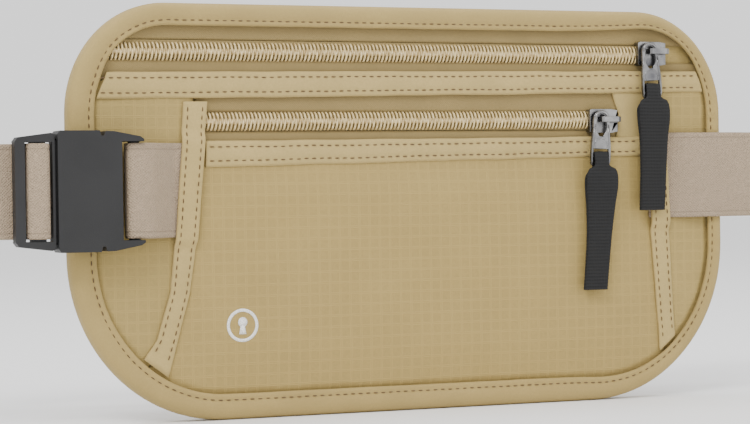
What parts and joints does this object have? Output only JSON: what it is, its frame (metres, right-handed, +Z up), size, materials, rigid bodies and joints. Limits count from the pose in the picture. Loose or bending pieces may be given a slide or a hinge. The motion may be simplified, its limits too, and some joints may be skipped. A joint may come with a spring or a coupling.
{
  "type": "money belt",
  "caption": "Flat two-pocket travel pouch with stacked front zips, folded edge binding, webbing waist strap and side-release buckle",
  "frame": {"origin": "on the floor, below the middle of the object's bounding box, with the pouch standing on its lower edge", "axes": "+X to the wearer's left hand as seen from the front (right in a front view), -Y out of the pocketed front, +Z up"},
  "size_m": [0.4113, 0.0762, 0.159],
  "materials": {
    "ripstop": "sand ripstop cloth",
    "lining": "grey shielding cloth",
    "binding": "sand binding tape",
    "trim": "sand folded hem cloth",
    "zip_tape": "woven zip tape",
    "coil": "champagne nylon coil",
    "webbing": "woven beige webbing",
    "plastic": "dark grey fine-grained acetal",
    "slider_metal": "dull nickel plating",
    "pull_tape": "black ribbed tape"
  },
  "bodies": {
    "pouch": {"back_panel": "ripstop", "shield_lining": "lining", "main_panel": "ripstop", "left_side_panel": "ripstop", "right_side_panel": "ripstop", "front_pocket_panel": "ripstop", "upper_zip_tape_top": "zip_tape", "upper_zip_tape_low": "zip_tape", "lower_zip_tape_top": "zip_tape", "lower_zip_tape_low": "zip_tape", "upper_coil": "coil", "lower_coil": "coil", "zip_garage": "trim", "upper_hem": "trim", "lower_hem": "trim", "left_strip": "trim", "right_strip": "trim", "edge_binding": "binding", "buckle_female": "plastic", "stub_strap": "webbing", "strap_right": "webbing", "strap_rear": "webbing"},
    "strap_end": {"buckle_male": "plastic", "strap_fold": "webbing", "strap_left": "webbing"},
    "prong_upper": {"prong_upper": "plastic"},
    "prong_lower": {"prong_lower": "plastic"},
    "slider_upper": {"slider_upper": "slider_metal"},
    "slider_lower": {"slider_lower": "slider_metal"},
    "puller_upper": {"puller_upper": "slider_metal"},
    "puller_lower": {"puller_lower": "slider_metal"},
    "tape_upper": {"pull_tape_upper": "pull_tape"},
    "tape_lower": {"pull_tape_lower": "pull_tape"}
  },
  "joints": [
    {"name": "buckle_release", "type": "slide", "parent": "pouch", "child": "strap_end", "axis": [-1, 0, 0], "range_m": [0, 0.045], "deforming": ["prong_upper", "prong_lower"]},
    {"name": "prong_squeeze_upper", "type": "hinge", "parent": "strap_end", "child": "prong_upper", "pos_m": [-0.1427, -0.03333, 0.0965], "axis": [0, 1, 0], "range_deg": [0, 8], "stiffness_Nm_per_rad": 0.05},
    {"name": "prong_squeeze_lower", "type": "hinge", "parent": "strap_end", "child": "prong_lower", "pos_m": [-0.1427, -0.03333, 0.0793], "axis": [0, -1, 0], "range_deg": [0, 8], "stiffness_Nm_per_rad": 0.05},
    {"name": "slider_upper_travel", "type": "slide", "parent": "pouch", "child": "slider_upper", "axis": [-1, 0, 0], "range_m": [0, 0.21], "deforming": ["pull_tape_upper"]},
    {"name": "slider_lower_travel", "type": "slide", "parent": "pouch", "child": "slider_lower", "axis": [-1, 0, 0], "range_m": [0, 0.16]},
    {"name": "puller_upper_swing", "type": "hinge", "parent": "slider_upper", "child": "puller_upper", "pos_m": [0.1048, -0.02867, 0.1424], "axis": [0, -1, 0], "range_deg": [-95, 20], "deforming": ["pull_tape_upper"]},
    {"name": "puller_lower_swing", "type": "hinge", "parent": "slider_lower", "child": "puller_lower", "pos_m": [0.082, -0.02867, 0.1145], "axis": [0, -1, 0], "range_deg": [-95, 12]},
    {"name": "tape_upper_lift", "type": "hinge", "parent": "puller_upper", "child": "tape_upper", "pos_m": [0.1056, -0.02867, 0.12712], "axis": [-1, 0, 0], "range_deg": [0, 60]},
    {"name": "tape_lower_lift", "type": "hinge", "parent": "puller_lower", "child": "tape_lower", "pos_m": [0.0812, -0.02867, 0.09922], "axis": [-1, 0, 0], "range_deg": [0, 60]}
  ]
}
